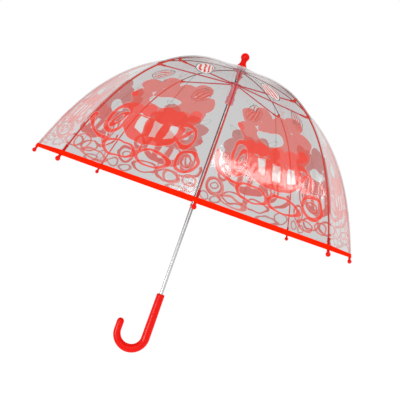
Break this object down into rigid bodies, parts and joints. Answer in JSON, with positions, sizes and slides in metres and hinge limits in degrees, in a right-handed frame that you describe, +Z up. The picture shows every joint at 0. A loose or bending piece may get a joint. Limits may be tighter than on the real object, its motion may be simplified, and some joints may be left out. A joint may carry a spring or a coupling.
{
  "type": "children's umbrella",
  "caption": "Child-size stick umbrella with a clear dome canopy on hinged ribs, a sliding runner with sprung catches and a J-shaped handle.",
  "frame": {"origin": "middle of the straight grip, on the shaft's axis, where the hand holds it", "axes": "+Z up the shaft towards the ferrule, -Y along rib 1, -X towards the crook of the handle"},
  "size_m": [0.6806, 0.6806, 0.6466],
  "materials": {
    "clear_pvc": "clear soft PVC sheet with a red print",
    "red_plastic": "glossy injection-moulded red",
    "rib_rod": "red coated rod",
    "stretcher_rod": "pink-red coated rod",
    "shaft_steel": "plated steel tube",
    "spring_steel": "bright spring wire"
  },
  "bodies": {
    "frame": {"shaft_tube": "shaft_steel", "handle": "red_plastic", "ferrule": "red_plastic", "canopy_cap": "red_plastic", "crown": "red_plastic", "crown_wire": "spring_steel", "crown_pin": "spring_steel"},
    "runner": {"runner": "red_plastic", "runner_wire": "spring_steel"},
    "open_catch": {"open_catch": "spring_steel"},
    "closed_catch": {"closed_catch": "spring_steel"},
    "rib_1_inner": {"rib_1_inner": "rib_rod", "canopy_1_upper": "clear_pvc"},
    "rib_1_outer": {"rib_1_outer": "rib_rod", "rib_1_tip": "red_plastic", "canopy_1_lower": "clear_pvc"},
    "stretcher_1": {"stretcher_1": "stretcher_rod"},
    "rib_2_inner": {"rib_2_inner": "rib_rod", "canopy_2_upper": "clear_pvc"},
    "rib_2_outer": {"rib_2_outer": "rib_rod", "rib_2_tip": "red_plastic", "canopy_2_lower": "clear_pvc"},
    "stretcher_2": {"stretcher_2": "stretcher_rod"},
    "rib_3_inner": {"rib_3_inner": "rib_rod", "canopy_3_upper": "clear_pvc"},
    "rib_3_outer": {"rib_3_outer": "rib_rod", "rib_3_tip": "red_plastic", "canopy_3_lower": "clear_pvc"},
    "stretcher_3": {"stretcher_3": "stretcher_rod"},
    "rib_4_inner": {"rib_4_inner": "rib_rod", "canopy_4_upper": "clear_pvc"},
    "rib_4_outer": {"rib_4_outer": "rib_rod", "rib_4_tip": "red_plastic", "canopy_4_lower": "clear_pvc"},
    "stretcher_4": {"stretcher_4": "stretcher_rod"},
    "rib_5_inner": {"rib_5_inner": "rib_rod", "canopy_5_upper": "clear_pvc"},
    "rib_5_outer": {"rib_5_outer": "rib_rod", "rib_5_tip": "red_plastic", "canopy_5_lower": "clear_pvc"},
    "stretcher_5": {"stretcher_5": "stretcher_rod"},
    "rib_6_inner": {"rib_6_inner": "rib_rod", "canopy_6_upper": "clear_pvc"},
    "rib_6_outer": {"rib_6_outer": "rib_rod", "rib_6_tip": "red_plastic", "canopy_6_lower": "clear_pvc"},
    "stretcher_6": {"stretcher_6": "stretcher_rod"},
    "rib_7_inner": {"rib_7_inner": "rib_rod", "canopy_7_upper": "clear_pvc"},
    "rib_7_outer": {"rib_7_outer": "rib_rod", "rib_7_tip": "red_plastic", "canopy_7_lower": "clear_pvc"},
    "stretcher_7": {"stretcher_7": "stretcher_rod"},
    "rib_8_inner": {"rib_8_inner": "rib_rod", "canopy_8_upper": "clear_pvc"},
    "rib_8_outer": {"rib_8_outer": "rib_rod", "rib_8_tip": "red_plastic", "canopy_8_lower": "clear_pvc"},
    "stretcher_8": {"stretcher_8": "stretcher_rod"}
  },
  "joints": [
    {"name": "runner_slide", "type": "slide", "parent": "frame", "child": "runner", "axis": [0, 0, -1], "range_m": [0, 0.274], "deforming": ["canopy_1_upper", "canopy_1_lower", "canopy_2_upper", "canopy_2_lower", "canopy_3_upper", "canopy_3_lower", "canopy_4_upper", "canopy_4_lower", "canopy_5_upper", "canopy_5_lower", "canopy_6_upper", "canopy_6_lower", "canopy_7_upper", "canopy_7_lower", "canopy_8_upper", "canopy_8_lower", "open_catch", "closed_catch"]},
    {"name": "rib_1_pivot", "type": "hinge", "parent": "frame", "child": "rib_1_inner", "pos_m": [0, -0.0075, 0.5228], "axis": [1, 0, 0], "range_deg": [0, 66.87]},
    {"name": "rib_1_flex", "type": "hinge", "parent": "rib_1_inner", "child": "rib_1_outer", "pos_m": [0, -0.17022, 0.47886], "axis": [1, 0, 0], "range_deg": [-37.8, 0]},
    {"name": "stretcher_1_pivot", "type": "hinge", "parent": "runner", "child": "stretcher_1", "pos_m": [0, -0.0093, 0.4935], "axis": [1, 0, 0], "range_deg": [-87.72, 0]},
    {"name": "rib_2_pivot", "type": "hinge", "parent": "frame", "child": "rib_2_inner", "pos_m": [0.0053, -0.0053, 0.5228], "axis": [0.7071, 0.7071, 0], "range_deg": [0, 66.87]},
    {"name": "rib_2_flex", "type": "hinge", "parent": "rib_2_inner", "child": "rib_2_outer", "pos_m": [0.12036, -0.12036, 0.47886], "axis": [0.7071, 0.7071, 0], "range_deg": [-37.8, 0]},
    {"name": "stretcher_2_pivot", "type": "hinge", "parent": "runner", "child": "stretcher_2", "pos_m": [0.00658, -0.00658, 0.4935], "axis": [0.7071, 0.7071, 0], "range_deg": [-87.72, 0]},
    {"name": "rib_3_pivot", "type": "hinge", "parent": "frame", "child": "rib_3_inner", "pos_m": [0.0075, 0, 0.5228], "axis": [0, 1, 0], "range_deg": [0, 66.87]},
    {"name": "rib_3_flex", "type": "hinge", "parent": "rib_3_inner", "child": "rib_3_outer", "pos_m": [0.17022, 0, 0.47886], "axis": [0, 1, 0], "range_deg": [-37.8, 0]},
    {"name": "stretcher_3_pivot", "type": "hinge", "parent": "runner", "child": "stretcher_3", "pos_m": [0.0093, 0, 0.4935], "axis": [0, 1, 0], "range_deg": [-87.72, 0]},
    {"name": "rib_4_pivot", "type": "hinge", "parent": "frame", "child": "rib_4_inner", "pos_m": [0.0053, 0.0053, 0.5228], "axis": [-0.7071, 0.7071, 0], "range_deg": [0, 66.87]},
    {"name": "rib_4_flex", "type": "hinge", "parent": "rib_4_inner", "child": "rib_4_outer", "pos_m": [0.12036, 0.12036, 0.47886], "axis": [-0.7071, 0.7071, 0], "range_deg": [-37.8, 0]},
    {"name": "stretcher_4_pivot", "type": "hinge", "parent": "runner", "child": "stretcher_4", "pos_m": [0.00658, 0.00658, 0.4935], "axis": [-0.7071, 0.7071, 0], "range_deg": [-87.72, 0]},
    {"name": "rib_5_pivot", "type": "hinge", "parent": "frame", "child": "rib_5_inner", "pos_m": [0, 0.0075, 0.5228], "axis": [-1, 0, 0], "range_deg": [0, 66.87]},
    {"name": "rib_5_flex", "type": "hinge", "parent": "rib_5_inner", "child": "rib_5_outer", "pos_m": [0, 0.17022, 0.47886], "axis": [-1, 0, 0], "range_deg": [-37.8, 0]},
    {"name": "stretcher_5_pivot", "type": "hinge", "parent": "runner", "child": "stretcher_5", "pos_m": [0, 0.0093, 0.4935], "axis": [-1, 0, 0], "range_deg": [-87.72, 0]},
    {"name": "rib_6_pivot", "type": "hinge", "parent": "frame", "child": "rib_6_inner", "pos_m": [-0.0053, 0.0053, 0.5228], "axis": [-0.7071, -0.7071, 0], "range_deg": [0, 66.87]},
    {"name": "rib_6_flex", "type": "hinge", "parent": "rib_6_inner", "child": "rib_6_outer", "pos_m": [-0.12036, 0.12036, 0.47886], "axis": [-0.7071, -0.7071, 0], "range_deg": [-37.8, 0]},
    {"name": "stretcher_6_pivot", "type": "hinge", "parent": "runner", "child": "stretcher_6", "pos_m": [-0.00658, 0.00658, 0.4935], "axis": [-0.7071, -0.7071, 0], "range_deg": [-87.72, 0]},
    {"name": "rib_7_pivot", "type": "hinge", "parent": "frame", "child": "rib_7_inner", "pos_m": [-0.0075, 0, 0.5228], "axis": [0, -1, 0], "range_deg": [0, 66.87]},
    {"name": "rib_7_flex", "type": "hinge", "parent": "rib_7_inner", "child": "rib_7_outer", "pos_m": [-0.17022, 0, 0.47886], "axis": [0, -1, 0], "range_deg": [-37.8, 0]},
    {"name": "stretcher_7_pivot", "type": "hinge", "parent": "runner", "child": "stretcher_7", "pos_m": [-0.0093, 0, 0.4935], "axis": [0, -1, 0], "range_deg": [-87.72, 0]},
    {"name": "rib_8_pivot", "type": "hinge", "parent": "frame", "child": "rib_8_inner", "pos_m": [-0.0053, -0.0053, 0.5228], "axis": [0.7071, -0.7071, 0], "range_deg": [0, 66.87]},
    {"name": "rib_8_flex", "type": "hinge", "parent": "rib_8_inner", "child": "rib_8_outer", "pos_m": [-0.12036, -0.12036, 0.47886], "axis": [0.7071, -0.7071, 0], "range_deg": [-37.8, 0]},
    {"name": "stretcher_8_pivot", "type": "hinge", "parent": "runner", "child": "stretcher_8", "pos_m": [-0.00658, -0.00658, 0.4935], "axis": [0.7071, -0.7071, 0], "range_deg": [-87.72, 0]},
    {"name": "open_catch_press", "type": "slide", "parent": "frame", "child": "open_catch", "axis": [0, -1, 0], "range_m": [0, 0.0025], "stiffness_N_per_m": 600},
    {"name": "closed_catch_press", "type": "slide", "parent": "frame", "child": "closed_catch", "axis": [0, -1, 0], "range_m": [0, 0.0025], "stiffness_N_per_m": 600}
  ],
  "couplings": [
    {"joint": "rib_1_pivot", "follows": "runner_slide", "rad_per_m": 4.2595},
    {"joint": "rib_1_flex", "follows": "runner_slide", "rad_per_m": -2.4078},
    {"joint": "stretcher_1_pivot", "follows": "runner_slide", "rad_per_m": -5.5876},
    {"joint": "rib_2_pivot", "follows": "runner_slide", "rad_per_m": 4.2595},
    {"joint": "rib_2_flex", "follows": "runner_slide", "rad_per_m": -2.4078},
    {"joint": "stretcher_2_pivot", "follows": "runner_slide", "rad_per_m": -5.5876},
    {"joint": "rib_3_pivot", "follows": "runner_slide", "rad_per_m": 4.2595},
    {"joint": "rib_3_flex", "follows": "runner_slide", "rad_per_m": -2.4078},
    {"joint": "stretcher_3_pivot", "follows": "runner_slide", "rad_per_m": -5.5876},
    {"joint": "rib_4_pivot", "follows": "runner_slide", "rad_per_m": 4.2595},
    {"joint": "rib_4_flex", "follows": "runner_slide", "rad_per_m": -2.4078},
    {"joint": "stretcher_4_pivot", "follows": "runner_slide", "rad_per_m": -5.5876},
    {"joint": "rib_5_pivot", "follows": "runner_slide", "rad_per_m": 4.2595},
    {"joint": "rib_5_flex", "follows": "runner_slide", "rad_per_m": -2.4078},
    {"joint": "stretcher_5_pivot", "follows": "runner_slide", "rad_per_m": -5.5876},
    {"joint": "rib_6_pivot", "follows": "runner_slide", "rad_per_m": 4.2595},
    {"joint": "rib_6_flex", "follows": "runner_slide", "rad_per_m": -2.4078},
    {"joint": "stretcher_6_pivot", "follows": "runner_slide", "rad_per_m": -5.5876},
    {"joint": "rib_7_pivot", "follows": "runner_slide", "rad_per_m": 4.2595},
    {"joint": "rib_7_flex", "follows": "runner_slide", "rad_per_m": -2.4078},
    {"joint": "stretcher_7_pivot", "follows": "runner_slide", "rad_per_m": -5.5876},
    {"joint": "rib_8_pivot", "follows": "runner_slide", "rad_per_m": 4.2595},
    {"joint": "rib_8_flex", "follows": "runner_slide", "rad_per_m": -2.4078},
    {"joint": "stretcher_8_pivot", "follows": "runner_slide", "rad_per_m": -5.5876}
  ]
}
